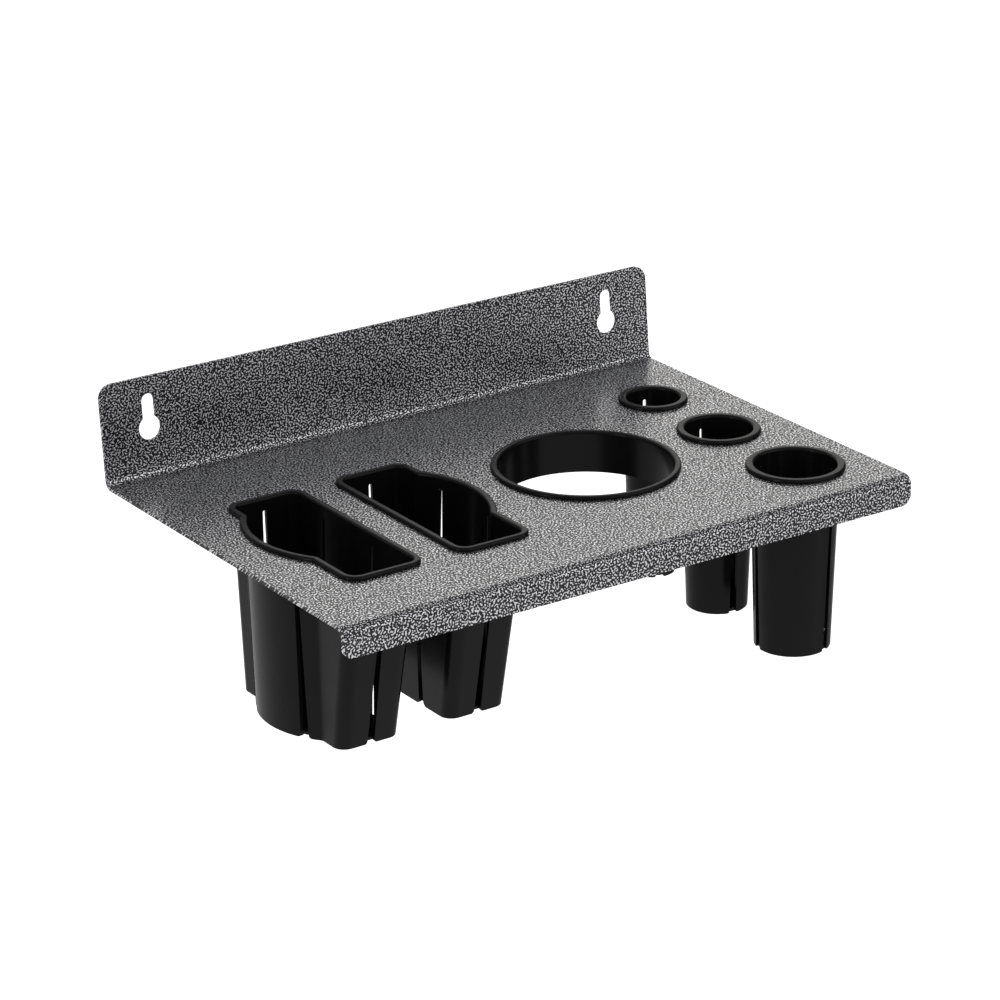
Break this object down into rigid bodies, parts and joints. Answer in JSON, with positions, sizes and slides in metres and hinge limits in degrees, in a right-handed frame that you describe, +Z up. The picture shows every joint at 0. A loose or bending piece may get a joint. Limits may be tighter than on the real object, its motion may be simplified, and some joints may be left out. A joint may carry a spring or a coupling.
{
  "type": "salon tool wall shelf",
  "caption": "Wall-hung steel shelf for a hairdressing station, with drop-in plastic holders for clippers, curling irons and a hair dryer.",
  "frame": {"origin": "on the wall, on the back face of the upright flange, midway between the round entries of the two keyholes", "axes": "+Z up, +Y into the wall, +X along the wall to the right as seen from the room; the shelf slopes 5 degrees down towards -Y"},
  "size_m": [0.305, 0.2018, 0.1503],
  "materials": {
    "hammered_steel": "black and silver vein powder coat",
    "black_plastic": "satin moulded"
  },
  "bodies": {
    "steel_shelf": {"steel_shelf": "hammered_steel"},
    "left_clipper_holster": {"left_clipper_holster": "black_plastic"},
    "right_clipper_holster": {"right_clipper_holster": "black_plastic"},
    "dryer_ring": {"dryer_ring": "black_plastic"},
    "small_iron_tube": {"small_iron_tube": "black_plastic"},
    "medium_iron_tube": {"medium_iron_tube": "black_plastic"},
    "large_iron_tube": {"large_iron_tube": "black_plastic"}
  },
  "joints": [
    {"name": "left_clipper_holster_lift", "type": "slide", "parent": "steel_shelf", "child": "left_clipper_holster", "axis": [0, -0.0872, 0.9962], "range_m": [0, 0.1]},
    {"name": "right_clipper_holster_lift", "type": "slide", "parent": "steel_shelf", "child": "right_clipper_holster", "axis": [0, -0.0872, 0.9962], "range_m": [0, 0.1]},
    {"name": "dryer_ring_lift", "type": "slide", "parent": "steel_shelf", "child": "dryer_ring", "axis": [0, -0.0872, 0.9962], "range_m": [0, 0.03]},
    {"name": "small_iron_tube_lift", "type": "slide", "parent": "steel_shelf", "child": "small_iron_tube", "axis": [0, -0.0872, 0.9962], "range_m": [0, 0.1]},
    {"name": "medium_iron_tube_lift", "type": "slide", "parent": "steel_shelf", "child": "medium_iron_tube", "axis": [0, -0.0872, 0.9962], "range_m": [0, 0.1]},
    {"name": "large_iron_tube_lift", "type": "slide", "parent": "steel_shelf", "child": "large_iron_tube", "axis": [0, -0.0872, 0.9962], "range_m": [0, 0.1]}
  ]
}
